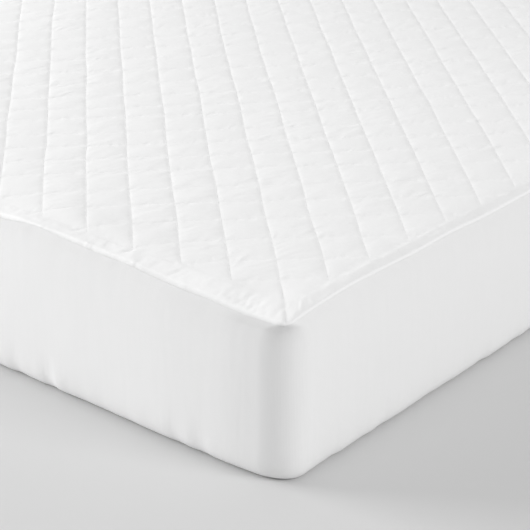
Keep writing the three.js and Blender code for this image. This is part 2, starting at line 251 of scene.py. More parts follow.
# How far the foot's side stands back near its right corner: distance from the corner, depth. From
# the seam down it grows to that over the last length.
FOOT_STANDS_BACK = MM * np.array([
    (0, 8), (20, 7.8), (40, 7.1), (60, 5.8), (80, 4), (105, 2.2), (158, 0.8), (230, 0), (290, 0.5),
    (390, 1.4), (480, 1.2), (600, 1), (900, 0), (1200, 0), (2100, 0),
])
STANDS_BACK_BELOW = 0.02

# The ripples grow over the first distance under the seam and die away over the second. The sway
# grows over one distance under the seam and ends over another above the floor.
RIPPLE_GROWS, RIPPLE_DIES = 0.006, 0.035
SWAY_GROWS, SWAY_ENDS = 0.06, 0.05

# The hem's gathers: the height where they start, and the height under which the cloth is flat
HEM_GATHERS_START = 0.09
HEM_FLAT = 0.5 * MM

# The mattress inside: its base's height and rows by distance from the side, its side and its rim
# as the skirt's rows above, and its top by distance from the side and clearance under the panel
BASE_HEIGHT = 1.8 * MM
BASE_ROWS = MM * np.array([170, 75])
MATTRESS_SIDE = [(42, 34, 1.8, 0), (21, 44, 10, 0), (10, 50, 26, 0), (6, 52, 54, 0), (5, 53, 150, 0)]
MATTRESS_RIM = [(7, 52, -50, 0.7), (10, 44, -18, 1)]
MATTRESS_ROWS = 30
MATTRESS_TOP = MM * np.array([(24, 2), (75, 0.3), (170, 0.3)])
TOP_CLEARANCE = 0.3 * MM

# Crinkles in the cotton: turn in degrees, length, width, sharpness, share of the full height. The
# last two lie beside the stitch lines of one family each.
DRAG_CRINKLES = (-74, 0.07, 0.03, 1.6, 1.0)
FINE_CRINKLES = (-58, 0.045, 0.016, 2.0, 0.4)
STITCH_CRINKLES = [(-62, 0.045, 0.021, 1.5, 0.8), (-110, 0.045, 0.021, 1.5, 0.8)]

# How far bends move a crinkle, how many bends there are in a metre, and how fast its ridge falls
CRINKLE_BEND = (0.014, 0.014, 0)
CRINKLE_BENDS = 22.0
CRINKLE_FALL = 4.5

# How fast the crinkles beside a stitch line fade, in full heights for each pitch, and the power that
# bends their fading
BESIDE_FALL = 2.6
BESIDE_POWER = 1.5

# The other crinkles come in where a patchy noise rises from the first value to the second
CRINKLED_FROM, CRINKLED_TO = 0.38, 0.62

# The knit: from rib to rib, from course to course, how high a course is beside a rib, and how many
# faint streaks there are in a metre, round the mattress and down the skirt
RIB_PITCH = 0.0016
COURSE_PITCH = 0.0012
COURSE_SHARE = 0.15
STREAKS = (110, 9, 1)

# The lights: azimuth and elevation in degrees, distance, width, height
KEY_LIGHT = (-70, 13, 6.5, 3.3, 1.65)
FILL_LIGHT = (99, 32.8, 8.43, 3.4, 2.4)

# Half a side of the floor, and how far the camera sees
FLOOR_HALF = 15
FARTHEST_VIEW = 100


def size(name, description, default):
    """A length in metres that the sidebar shows."""
    return FloatProperty(name=name, description=description, default=default, unit="LENGTH", precision=4)


def number(name, description, default, low=0.0, high=1.0):
    """A plain number between two limits."""
    return FloatProperty(name=name, description=description, default=default, min=low, max=high)


def colour(name, description, default):
    """A colour in linear red, green and blue."""
    return FloatVectorProperty(
        name=name, description=description, default=default, subtype="COLOR", size=3, min=0, max=1
    )


def angle(name, description, default):
    """An angle, given in degrees here and shown in the sidebar's own unit."""
    return FloatProperty(name=name, description=description, default=radians(default), subtype="ANGLE")


class MattressSizes(PropertyGroup):
    """Overall sizes that every piece shares."""

    width: size("Width", "Across the mattress", round(PANEL_HIGH.x - PANEL_LOW.x, 4))
    length: size("Length", "From foot to head", round(PANEL_HIGH.y - PANEL_LOW.y, 4))
    seam_height: size("Seam height", "From the floor to the seam between panel and skirt", 0.283)
    crown: size("Crown", "How much higher than the seam the panel is away from its edges", 0.0124)
    side_roll: size("Side roll", "Height of the tight roll at the seam of the long sides", 0.0034)
    end_roll: size("End roll", "The same at the foot and the head, where it is rounder", 0.0058)
    end_start: size("End start", "How far from a corner the ends' own shape is reached", 0.2)
    side_slope_share: number("Side slope share", "Share of the fall to a long side in its border", 0.36)
    side_slope_reach: size("Side slope reach", "How far in from the seam that slope goes", 0.019)
    side_reach: size("Side reach", "How far in from a long side the rest of the fall goes", 0.4)
    end_slope_share: number("End slope share", "Share of the fall to the foot or head in its border", 0.6)
    end_slope_reach: size("End slope reach", "How far in from the seam that slope goes", 0.036)
    end_reach: size("End reach", "How far in from the foot or head the rest of the fall goes", 0.2)
    blend: size("Blend", "Softness of the line where two sides' falls meet", 0.0015)
    seam_unevenness: size("Seam unevenness", "Its small rise and fall from stitch to stitch", 0.0005)
    corner_dip: size("Corner dip", "How far each corner sinks", 0.008)
    corner_dip_reach: size("Corner dip reach", "How far from the corner the dip goes", 0.2)


class QuiltSizes(PropertyGroup):
    """Sizes of the stitched panel."""

    pitch: size("Stitch pitch", "Between neighbouring stitch lines", 0.07)
    first_line_a: number("First line, right-leaning", "From the foot's right corner, in pitches", 0.064)
    first_line_b: number("First line, left-leaning", "From the foot's right corner, in pitches", 0.066)
    loft: size("Loft", "Height of a diamond's filling over its stitches", 0.0016)
    loft_power: number("Loft steepness", "How steeply the filling rises beside a stitch line", 2.3, 1, 6)
    valley: size("Valley radius", "Roundness of the valley along a stitch line", 0.0012)
    wander: size("Wander", "How far a stitch line strays from straight", 0.0012)
    crease: size("Crease height", "Height of the soft drag folds in the diamonds", 0.00035)
    notch_depth: size("Notch depth", "How far stitches pull the cloth in", 0.0005)
    notch_reach: size("Notch reach", "How far to each side the stitches' pull goes", 0.0045)
    notch_share_b: number("Notch share, left-leaning", "Pull of the left-leaning lines, as a share", 0.45)
    notch_reach_b: size("Notch reach, left-leaning", "How far to each side their pull goes", 0.0065)
    notch_share_border: number("Notch share, border", "Pull of the border's line, as a share", 0.25)
    stitch_length: size("Stitch length", "From one stitch to the next", 0.0042)
    thread: size("Thread", "Width of the sewing thread", 0.0006)
    border_long: size("Border, long sides", "Width between the last stitch line and the seam", 0.018)
    border_short: size("Border, foot and head", "Width between the last stitch line and the seam", 0.028)
    corner_long: size("Corner extra, long sides", "Extra width of the border at a corner", 0.01)
    corner_long_reach: size("Corner extra reach, long sides", "How far that extra width goes", 0.5)
    corner_short: size("Corner extra, foot and head", "Extra width of the border at a corner", 0.028)
    corner_short_reach: size("Corner extra reach, foot and head", "How far that extra width goes", 0.31)
    border_puff: size("Border puff", "How full the border is", 0.0002)
    gather: size("Gather depth", "Depth of the small gathers along the border", 0.0004)
    taut_reach: size("Taut reach", "How far from a corner the cloth is pulled flat", 0.22)
    taut_share: number("Taut share", "How much of the loft that pull takes away at the corner", 0.8)
    dart: size("Dart depth", "Depth of the fold into each corner", 0.0022)
    dart_drop: size("Dart drop width", "Width of its steep side, which is towards the end", 0.005)
    dart_width: size("Dart width", "Width of its flat side, which is towards the long side", 0.05)
    dart_reach: size("Dart reach", "How far in from the corner it goes, both sides added", 0.15)
    dart_shift: size("Dart shift", "How far off the corner's diagonal its inner end lies", 0.0085)
    bend: size("Bend", "How far the left-leaning lines are pulled outwards at the foot", 0.019)
    bend_reach: size("Bend reach", "How far in from the foot that pull goes", 0.15)


class SkirtSizes(PropertyGroup):
    """Sizes of the stretch skirt."""

    cloth: size("Cloth", "Thickness of the knit", 0.0012)
    ripple: size("Ripple", "Depth of the ripples under the seam", 0.00012)
    sway: size("Sway", "Depth of the wide, soft waves in the sides", 0.0006)
    hem_gather: size("Hem gathers", "Depth of the gathers where the hem is drawn in", 0.0022)
    hem_gather_pitch: size("Hem gather pitch", "Distance between those gathers", 0.026)


class Finish(PropertyGroup):
    """Colours of the cloths and of the floor."""

    cotton: colour("Cotton", "The quilted panel", (0.912, 0.912, 0.912))
    thread: colour("Thread", "The stitches", (0.88, 0.88, 0.88))
    knit: colour("Knit", "The skirt", (0.88, 0.88, 0.88))
    ticking: colour("Ticking", "The mattress inside", (0.78, 0.76, 0.71))
    floor: colour("Floor", "The floor", (0.66, 0.66, 0.66))


class StageSettings(PropertyGroup):
    """Camera and lights."""

    azimuth: angle("Camera azimuth", "0 looks along +Y from the foot end, 90 along -X", 39.7)
    elevation: angle("Camera elevation", "Above the horizon", 24.4)
    distance: size("Camera distance", "From the camera to the point it looks at", 2.45)
    aim: FloatVectorProperty(
        name="Camera aim", description="Where it looks, from the foot's right corner of the seam",
        default=(-0.0421, 0.006, 0.0735), subtype="TRANSLATION", unit="LENGTH", size=3
    )
    lens: FloatProperty(
        name="Lens", description="Focal length on a 36 mm sensor", default=119.9, unit="CAMERA"
    )
    key: number("Key light", "Strength of the light from the foot side", 350, 0, 2000)
    fill: number("Fill light", "Strength of the light from the right-hand side", 293, 0, 2000)
    surroundings: number("Surroundings", "Strength of the even white surroundings", 0.552, 0, 10)


class ProtectorSettings(PropertyGroup):
    """Everything that a user would change."""

    mattress: PointerProperty(type=MattressSizes)
    quilt: PointerProperty(type=QuiltSizes)
    skirt: PointerProperty(type=SkirtSizes)
    finish: PointerProperty(type=Finish)
    stage: PointerProperty(type=StageSettings)


def settings():
    """The scene's own settings."""
    return bpy.context.scene.protector


# Shapes that the pieces share


def cubic(t, start, start_slope, end, end_slope):
    """A cubic curve from a start at t = 0 to an end at t = 1, with the slopes given there."""
    return (
        start * (2 * t**3 - 3 * t**2 + 1) + start_slope * (t**3 - 2 * t**2 + t)
        + end * (3 * t**2 - 2 * t**3) + end_slope * (t**3 - t**2)
    )


def along_table(table, distance):
    """A smooth curve through a table of distance and value: a cubic from each row to the next, with
    a row's slope taken from its neighbours on both sides."""
    places, values = table.T
    slopes = np.gradient(values, places)
    k = np.clip(np.searchsorted(places, distance) - 1, 0, len(places) - 2)
    step = places[k + 1] - places[k]
    t = np.clip((distance - places[k]) / step, 0, 1)
    return cubic(t, values[k], slopes[k] * step, values[k + 1], slopes[k + 1] * step)


def fade(distance, reach, power=1):
    """1 at the edge and 0 from the given reach inwards, bent by a power."""
    return np.clip(1 - distance / reach, 0, 1) ** power


def eased(t):
    """From 0 to 1, with no slope and no bend at either end."""
    return t * t * t * (t * (6 * t - 15) + 10)


def noise(u, v, grid):
    """Smooth random values from -1 to 1: a grid of seeded values, eased between its points both ways."""
    step_u, step_v, seed = grid
    values = np.random.default_rng(seed).uniform(-1, 1, (NOISE_SIDE, NOISE_SIDE))
    u, v = np.broadcast_arrays(u / step_u, v / step_v)
    i, j = np.floor(u).astype(int), np.floor(v).astype(int)
    s, t = eased(u - i), eased(v - j)
    here, next_one = i % NOISE_SIDE, (i + 1) % NOISE_SIDE
    row, next_row = j % NOISE_SIDE, (j + 1) % NOISE_SIDE
    along_row = values[here, row] * (1 - s) + values[next_one, row] * s
    along_next = values[here, next_row] * (1 - s) + values[next_one, next_row] * s
    return along_row * (1 - t) + along_next * t


def side_rises(x, y):
    """How far in from the sides and from the ends a point is, and the rise of the seam beside it
    on its side and on its end."""
    m = settings().mattress
    from_foot = m.length / 2 + np.where(x > 0, y, -y)
    from_right = m.width / 2 + np.where(y < 0, -x, x)
    along = along_table(LONG_SIDE_RISE, from_foot)
    across = along_table(SHORT_SIDE_RISE, from_right)
    return m.width / 2 - np.abs(x), m.length / 2 - np.abs(y), along, across


def corner_dip(sideways, lengthways):
    """How far a point sinks near a corner, less and less away from both of its sides."""
    m = settings().mattress
    reach = m.corner_dip_reach
    return m.corner_dip * (fade(sideways, reach, DIP_POWER) * fade(lengthways, reach, DIP_POWER))


def seam_rise(x, y):
    """How far a point of the seam lies above or below its even height: the rise of its side, less
    the corner's dip, and a little unevenness."""
    sideways, lengthways, along, across = side_rises(x, y)
    uneven = settings().mattress.seam_unevenness * noise(x, y, SEAM_NOISE)
    return np.where(sideways < lengthways, along, across) - corner_dip(sideways, lengthways) + uneven


def past_corner(sideways):
    """0 at a corner, rising smoothly to 1 where the ends' own shape is reached."""
    t = np.clip(sideways / settings().mattress.end_start, 0, 1)
    return t * t * (3 - 2 * t)


def roll_height(sideways):
    """Height of the roll at the seam: tight on the long sides, growing rounder along the ends."""
    m = settings().mattress
    return m.side_roll + (m.end_roll - m.side_roll) * past_corner(sideways)


def crown(x, y):
    """Height of the panel at its stitches.

    It is level in the middle. Towards a side it falls to the top of that seam's roll, partly in
    the border and the rest further in, and the seam's own rise or dip makes the fall less or
    more. Near a corner the larger fall counts.
    """
    m = settings().mattress
    sideways, lengthways, along, across = side_rises(x, y)
    share = m.side_slope_share
    slope = share * fade(sideways, m.side_slope_reach, SIDE_SLOPE_POWER)
    further_in = (1 - share) * fade(sideways, m.side_reach, SIDE_POWER)
    side_fall = (m.crown - m.side_roll - along) * (slope + further_in)
    share = m.end_slope_share * (END_SLOPE_AT_CORNER + (1 - END_SLOPE_AT_CORNER) * past_corner(sideways))
    slope = share * fade(lengthways, m.end_slope_reach, END_SLOPE_POWER)
    further_in = (1 - share) * fade(lengthways, m.end_reach, END_POWER)
    end_fall = (m.crown - roll_height(sideways) - across) * (slope + further_in)
    fall = (side_fall + end_fall + np.sqrt((side_fall - end_fall) ** 2 + m.blend**2)) / 2
    return m.seam_height + m.crown - fall - corner_dip(sideways, lengthways)


def spaced(start, end, step):
    """Even places from start up to, but without, end, about a step apart."""
    return np.linspace(start, end, round((end - start) / step), endpoint=False)


def way_round(fine, coarse, arc_steps):
    """Places round the mattress, counterclockwise from the head's left corner.

    Each side has its places, closer together on its fine stretch, and then those round the
    corner after it. A place has its side's outward and forward directions, its share of the
    side from -1 to 1, and how far the corner has turned, from 0 to a quarter turn.
    """
    m = settings().mattress
    turns = pi / 2 * np.arange(1, arc_steps) / arc_steps
    parts = []
    for out, ahead, (start, end) in SIDES:
        depth, reach = (m.width / 2, m.length / 2) if out[0] else (m.length / 2, m.width / 2)
        before, after = spaced(0, start, coarse), spaced(end, 2 * reach, coarse)
        shares = np.concatenate([before, spaced(start, end, fine), after, [2 * reach]]) / reach - 1
        count = len(shares) + len(turns)
        parts.append((
            np.tile(out, (count, 1)), np.tile(ahead, (count, 1)),
            np.full(count, depth), np.full(count, reach),
            np.append(shares, np.ones(len(turns))), np.append(np.zeros(len(shares)), turns),
        ))
    names = "out", "ahead", "depth", "reach", "share", "turn"
    columns = [np.concatenate(column) for column in zip(*parts)]
    return SimpleNamespace(**dict(zip(names, columns)))


def ring(way, inset, corner):
    """Plan of one row round the mattress: the sides moved in by inset, with round corners."""
    out = way.depth - inset - corner * (1 - np.cos(way.turn))
    along = way.share * (way.reach - inset - corner) + corner * np.sin(way.turn)
    return way.out * out[:, None] + way.ahead * along[:, None]


def outwards(way):
    """The level direction that faces away from the mattress at each place."""
    return way.out * np.cos(way.turn)[:, None] + way.ahead * np.sin(way.turn)[:, None]


def distance_round(plan):
    """How far each point of a closed row is from the row's start, measured along it."""
    steps = np.hypot(*np.diff(plan, axis=0).T)
    return np.concatenate([[0], np.cumsum(steps)])


def with_height(plan, height):
    """Points from a plan and a height for each, or one height for all."""
    return np.column_stack([plan, np.broadcast_to(height, len(plan))])


def add_object(name, data):
    """An object of the scene with its data."""
    made = bpy.data.objects.new(name, data)
    bpy.context.scene.collection.objects.link(made)
    return made


def rising(way):
    """How far round each point of a closed row is, in sides, kept from falling back to 0 at its end."""
    fell_back = np.diff(way, prepend=way[0]) < -len(SIDES) / 2
    return np.maximum.accumulate(way + len(SIDES) * np.cumsum(fell_back))


class Gathered:
    """The points, faces and pattern places of one piece, as they are gathered."""

    def __init__(self):
        self.points, self.places = [], []
        self.quads, self.triangles = [np.empty((0, 4), int)], [np.empty((0, 3), int)]
        self.count = 0

    def add_points(self, points, places=None):
        """Adds points, with their places in the pattern, and returns their numbers."""
        self.points.append(points)
        self.places.append(points[:, :2] if places is None else places)
        numbers = np.arange(self.count, self.count + len(points))
        self.count += len(points)
        return numbers

    def add_bands(self, rows):
        """Quads from each closed row to the next. They face out when the rows go outwards on top,
        down the sides and in again below."""
        for inner, outer in zip(rows[:-1], rows[1:]):
            self.quads.append(np.column_stack([inner, outer, np.roll(outer, -1), np.roll(inner, -1)]))

    def add_zip(self, inner, outer, inner_way, outer_way, facing_down=False):
        """Triangles between two closed rows whose points aren't in step.

        Both rows' steps are sorted by how far round they end, and each step is one triangle's
        base, with its tip at the other row's latest point.
        """
        ways = [rising(inner_way), rising(outer_way)]
        ends = np.concatenate([np.append(way[1:], way[0] + len(SIDES)) for way in ways])
        from_inner = np.arange(len(ends)) < len(inner)
        from_inner = from_inner[np.lexsort([~from_inner, ends])]
        i = np.cumsum(from_inner) - from_inner
        o = np.cumsum(~from_inner) - ~from_inner
        here_in, here_out = inner[i % len(inner)], outer[o % len(outer)]
        tip = np.where(from_inner, inner[(i + 1) % len(inner)], outer[(o + 1) % len(outer)])
        triangles = np.column_stack([here_in, here_out, tip])
        self.triangles.append(triangles[:, ::-1] if facing_down else triangles)

    def add_lid(self, edge, centre, facing_down=False):
        """A fan of triangles from a closed row to one point."""
        triangles = np.column_stack([np.full(len(edge), centre), edge, np.roll(edge, -1)])
        self.triangles.append(triangles[:, ::-1] if facing_down else triangles)

    def make(self, name):
        """A mesh object at the origin, with the pattern places as its UV map."""
        points, places = np.concatenate(self.points), np.concatenate(self.places)
        quads, triangles = np.concatenate(self.quads), np.concatenate(self.triangles)
        corners = np.concatenate([quads.ravel(), triangles.ravel()])
        sides = np.repeat([4, 3], [len(quads), len(triangles)])
        mesh = bpy.data.meshes.new(name)
        mesh.vertices.add(len(points))
        mesh.vertices.foreach_set("co", points.ravel())
        mesh.loops.add(len(corners))
        mesh.loops.foreach_set("vertex_index", corners)
        mesh.polygons.add(len(sides))
        mesh.polygons.foreach_set("loop_start", np.cumsum(sides) - sides)
        mesh.polygons.foreach_set("use_smooth", np.ones(len(sides), bool))
        mesh.uv_layers.new(name="pattern").uv.foreach_set("vector", places[corners].ravel())
        mesh.update(calc_edges=True)
        if mesh.validate(verbose=False):
            raise RuntimeError(f"{name} has faulty faces")
        return add_object(name, mesh)


# The quilted panel


def stitch_place(a, b):
    """Where a place between the stitch lines lies: a and b count pitches from the foot's right corner.

    A step of a is half a diagonal towards the head's right, and a step of b half a diagonal
    towards the foot's right. Low noise makes the lines wander, and the stretched skirt pulls the
    left-leaning lines outwards along part of the foot.
    """
    m, q = settings().mattress, settings().quilt
    step = q.pitch * sqrt(0.5)
    s = (a + q.first_line_a) * step + q.wander * noise(a, b, LINE_NOISE_A)
    t = (b + along_table(LINE_SHIFTS, b) + q.first_line_b) * step + q.wander * noise(a, b, LINE_NOISE_B)
    from_foot, from_right = s - t, -s - t
    grows = np.clip((from_right - BEND_START) / BEND_GROWS, 0, 1)
    fades = np.clip((BEND_END - from_right) / BEND_FADES, 0, 1)
    t = t + q.bend * fade(np.maximum(from_foot, 0), q.bend_reach, BEND_POWER) * (grows * fades)
    return m.width / 2 + s + t, -m.length / 2 + s - t


def border_limits(x, y):
    """Half the width and half the length of the stitched field, at a point's own y and x."""
    m, q = settings().mattress, settings().quilt
    along = fade(np.maximum(m.length / 2 - np.abs(y) - q.border_short, 0), q.corner_long_reach)
    across = fade(np.maximum(m.width / 2 - np.abs(x) - q.border_long, 0), q.corner_short_reach)
    half_width = m.width / 2 - q.border_long - q.corner_long * along
    half_length = m.length / 2 - q.border_short - q.corner_short * across
    return half_width, half_length


def room_inside(x, y):
    """How far inside the border's stitch line a point lies, from the sides and from the ends."""
    half_width, half_length = border_limits(x, y)
    return half_width - np.abs(x), half_length - np.abs(y)


def softened(distance, radius):
    """A distance from a line, with its sharp valley on the line rounded."""
    return np.sqrt(distance * distance + radius * radius) - radius


def hump(distance, reach, power):
    """0 on a stitch line, rising steeply beside it and level from the given reach."""
    return 1 - (1 - np.clip(distance / reach, 0, 1)) ** power


def tautness(x, y):
    """How far the cloth is pulled flat: 0 in the field, rising to 1 at each corner."""
    m, q = settings().mattress, settings().quilt
    from_corner = np.hypot(m.width / 2 - np.abs(x), m.length / 2 - np.abs(y))
    return fade(from_corner, q.taut_reach, TAUT_POWER)


def panel_height(x, y):
    """Height of the panel under its filling: the crown, the listed creases, and the dart
    that each corner's surplus cloth is drawn into, along the diagonal through the corner."""
    m, q = settings().mattress, settings().quilt
    height = crown(x, y)
    for from_right, from_foot, heading, long, wide, high in CREASES:
        east, north = x - (m.width / 2 - from_right * MM), y - (from_foot * MM - m.length / 2)
        along = east * cos(radians(heading)) + north * sin(radians(heading))
        across = north * cos(radians(heading)) - east * sin(radians(heading))
        height = height + high * MM * np.exp(-((along / (long * MM)) ** 2) - (across / (wide * MM)) ** 2)
    sideways, lengthways = m.width / 2 - np.abs(x), m.length / 2 - np.abs(y)
    inwards = (sideways + lengthways) / q.dart_reach
    off_line = sideways - lengthways + q.dart_shift * inwards
    across = np.where(off_line > 0, off_line / q.dart_drop, -off_line / q.dart_width)
    return height - q.dart * fade(across, 1, DART_ACROSS_POWER) * fade(inwards, 1, DART_ALONG_POWER)


def drag_folds(x, y):
    """Soft folds from 0 to 1, drawn out along one heading: the ridges are where bent noise crosses
    0, and a wider noise leaves some patches without them."""
    along = x * cos(FOLD_HEADING) + y * sin(FOLD_HEADING) + FOLD_BEND * noise(x, y, FOLD_BEND_NOISE)
    across = y * cos(FOLD_HEADING) - x * sin(FOLD_HEADING) + FOLD_SHIFT * noise(x, y, FOLD_SHIFT_NOISE)
    ridges = np.clip(1 - FOLD_SHARPNESS * noise(along, across, FOLD_NOISE) ** 2, 0, 1) ** 2
    return ridges * np.clip(FOLD_STRENGTH + noise(x, y, FOLD_PATCH_NOISE), 0, 1)


def stitches_pull(to_line_a, to_line_b, to_border):
    """How far the stitches pull the cloth in: a narrow notch along each line, of which the deepest
    counts where lines cross."""
    q = settings().quilt
    inside = np.clip(to_border / q.notch_reach, 0, 1)
    right_leaning = inside * fade(to_line_a, q.notch_reach, NOTCH_POWER)
    left_leaning = inside * q.notch_share_b * fade(to_line_b, q.notch_reach_b, NOTCH_POWER)
    border = q.notch_share_border * fade(np.maximum(to_border, 0), q.notch_reach, NOTCH_POWER)
    return q.notch_depth * np.maximum.reduce([right_leaning, left_leaning, border])


def quilt_height(a, b, x, y):
    """Height of the quilted cloth: the panel, less the stitches' pull, plus each diamond's filling.

    The filling is the product of one hump between lines of each family and one from the
    border, a little higher or lower in each diamond, with drag folds on it.
    """
    q = settings().quilt
    to_line_a = softened((a - np.round(a)) * q.pitch, q.valley)
    to_line_b = softened((b - np.round(b)) * q.pitch, q.valley)
    to_border = np.minimum(*room_inside(x, y))
    filled = hump(to_line_a, q.pitch / 2, q.loft_power) * hump(to_line_b, q.pitch / 2, q.loft_power)
    filled = filled * hump(to_border, q.pitch / 2, q.loft_power)
    by_diamond = DIAMOND_UNEVEN * noise(np.floor(a) + 0.5, np.floor(b) + 0.5, DIAMOND_NOISE)
    fullness = 1 + by_diamond + PATCH_UNEVEN * noise(x, y, PATCH_NOISE)
    loft = q.loft * fullness * (1 - q.taut_share * tautness(x, y)) + q.crease * drag_folds(x, y)
    return panel_height(x, y) - stitches_pull(to_line_a, to_line_b, to_border) + loft * filled


def way_of(x, y):
    """How far round the panel a point lies: 0 to 1 along the left side, then the foot, right and head."""
    half_width, half_length = border_limits(x, y)
    across = np.clip((x / half_width + 1) / 2, 0, 1)
    along = np.clip((y / half_length + 1) / 2, 0, 1)
    to_sides = np.stack([half_width + x, half_length + y, half_width - x, half_length - y])
    side = np.argmin(to_sides, axis=0)
    return side + np.choose(side, [1 - along, across, along, 1 - across])


def line_samples(first, last, fine):
    """Places across a run of stitch lines, closer together between the two fine ones."""
    samples = [FINE_SAMPLES if fine[0] <= cell < fine[1] else COARSE_SAMPLES for cell in range(first, last)]
    return np.append(np.concatenate([first + k + places for k, places in enumerate(samples)]), last)


def field_grid():
    """The grid's places in both families of stitch lines, and the corners of its cells."""
    m, q = settings().mattress, settings().quilt
    wide, long = m.width / q.pitch * sqrt(0.5), m.length / q.pitch * sqrt(0.5)
    lines_a = line_samples(-int(wide) - 1, int(long) + 1, FINE_LINES_A)
    lines_b = line_samples(-int(wide + long) - 1, 1, FINE_LINES_B)
    a, b = (part.ravel() for part in np.meshgrid(lines_a, lines_b, indexing="ij"))
    numbers = np.arange(len(a)).reshape(len(lines_a), len(lines_b))
    corners = numbers[:-1, :-1], numbers[:-1, 1:], numbers[1:, 1:], numbers[1:, :-1]
    return a, b, np.stack(corners, axis=-1).reshape(-1, 4)


def one_point_a_corner(cells, at_corner, x, y):
    """Cells in which all points at one corner of the border's line are the same point."""
    used = np.zeros(len(x), bool)
    used[cells] = True
    same = np.arange(len(x))
    for side_x in (-1, 1):
        for side_y in (-1, 1):
            points = np.flatnonzero(at_corner & used & (x * side_x > 0) & (y * side_y > 0))
            same[points] = points[:1]
    return same[cells]


def split_at_line(cells, on_line, room):
    """Cells with no point on the border's line, and the others as two triangles each, cut from
    their innermost point, without those that have no area."""
    touching = on_line[cells].any(axis=1)
    turn = (room[cells[touching]].argmax(axis=1)[:, None] + np.arange(4)) % 4
    split = np.take_along_axis(cells[touching], turn, axis=1)
    triangles = np.concatenate([split[:, [0, 1, 2]], split[:, [0, 2, 3]]])
    different = (triangles != np.roll(triangles, 1, axis=1)).all(axis=1)
    return cells[~touching], triangles[different]


def quilted_field(shape):
    """The stitched field, on a grid that follows both families of stitch lines.

    Cells that lie wholly past the border's stitch line are dropped. The points of the others
    that lie past it are moved straight onto it, so the field ends in a clean line.
    Returns the numbers of the points on that line and how far round each lies.
    """
    a, b, cells = field_grid()
    x, y = stitch_place(a, b)
    half_width, half_length = border_limits(x, y)
    room_x, room_y = half_width - np.abs(x), half_length - np.abs(y)
    past_x, past_y = room_x < CLOSEST_TO_LINE, room_y < CLOSEST_TO_LINE
    on_line = past_x | past_y
    cells = cells[~on_line[cells].all(axis=1)]
    x = np.where(past_x, np.sign(x) * half_width, x)
    y = np.where(past_y, np.sign(y) * half_length, y)
    cells = one_point_a_corner(cells, past_x & past_y, x, y)
    quads, triangles = split_at_line(cells, on_line, np.minimum(room_x, room_y))
    kept, renumbered = np.unique(np.concatenate([quads.ravel(), triangles.ravel()]), return_inverse=True)
    a, b, x, y = a[kept], b[kept], x[kept], y[kept]
    shape.add_points(np.column_stack([x, y, quilt_height(a, b, x, y)]), np.column_stack([a, b]))
    shape.quads.append(renumbered[: quads.size].reshape(-1, 4))
    shape.triangles.append(renumbered[quads.size :].reshape(-1, 3))
    edge = np.flatnonzero(on_line[kept])
    ways = way_of(x[edge], y[edge])
    order = np.argsort(ways)
    return edge[order], ways[order]


def roll_inset(way, turned):
    """How far in from the seam the roll's surface is where it has turned down by an angle."""
    sideways = settings().mattress.width / 2 - np.abs(ring(way, 0, SEAM_CORNER)[:, 0])
    return roll_height(sideways) * (1 - sin(turned))


def border_plan(way, outward_share):
    """Plan of a border row: a share of the way from the border's stitch line out to the ridge.

    The stitch line is shorter than the ridge, as the border lies round it. So near a corner the
    places on it are drawn closer together, by a power that meets the even spacing smoothly.
    """
    ridge = ring(way, roll_inset(way, ROLL_START), SEAM_CORNER)
    limits = np.column_stack(border_limits(*ridge.T))
    furthest = np.abs(ridge).max(axis=0)
    from_end, wide = furthest - np.abs(ridge), furthest - limits
    eased_part = np.maximum(from_end, 0) / (CORNER_EASE * wide)
    near = (CORNER_EASE - 1) * wide * eased_part ** (CORNER_EASE / (CORNER_EASE - 1))
    inwards = np.where(from_end < CORNER_EASE * wide, near, from_end - wide)
    stitched = np.sign(ridge) * (limits - inwards)
    stitched = np.sign(ridge) * (np.column_stack(border_limits(*stitched.T)) - inwards)
    return stitched + (ridge - stitched) * outward_share


def pattern_places(plan):
    """Places in the stitch pattern of points outside the field."""
    m, q = settings().mattress, settings().quilt
    step = q.pitch * sqrt(0.5)
    s = (plan[:, 0] - m.width / 2 + plan[:, 1] + m.length / 2) / 2
    t = (plan[:, 0] - m.width / 2 - plan[:, 1] - m.length / 2) / 2
    return np.column_stack([s / step - q.first_line_a, t / step - q.first_line_b])


def add_row(shape, plan, height):
    """Adds a row of the panel and returns its numbers."""
    return shape.add_points(with_height(plan, height), pattern_places(plan))


def add_border(shape, way, edge, edge_way):
    """Adds the puffed border with its gathers, from the field's edge out to the ridge. Returns the
    last row's numbers and height."""
    m, q = settings().mattress, settings().quilt
    seam = ring(way, 0, SEAM_CORNER)
    round_it = distance_round(seam)
    seam_steps = np.gradient(round_it)
    from_corner = m.width / 2 - np.abs(seam[:, 0]) + m.length / 2 - np.abs(seam[:, 1])
    deeper = 1 + GATHER_AT_CORNER * fade(from_corner, GATHER_CORNER_REACH)
    plans = [border_plan(way, out_share) for out_share, puff in BORDER_ROWS]
    rows = []
    for (out_share, puff), plan in zip(BORDER_ROWS, plans):
        spread = np.clip(np.hypot(*np.gradient(plan, axis=0).T) / seam_steps, 0, 1)
        gathers = sum(noise(round_it, out_share, grid) for grid in GATHER_NOISES) * deeper * spread
        height = panel_height(*plan.T) + (q.border_puff * spread + q.gather * gathers) * puff
        rows.append(add_row(shape, plan, height))
    shape.add_zip(edge, rows[0], edge_way, way_of(*plans[0].T))
    shape.add_bands(rows)
    return rows[-1], height


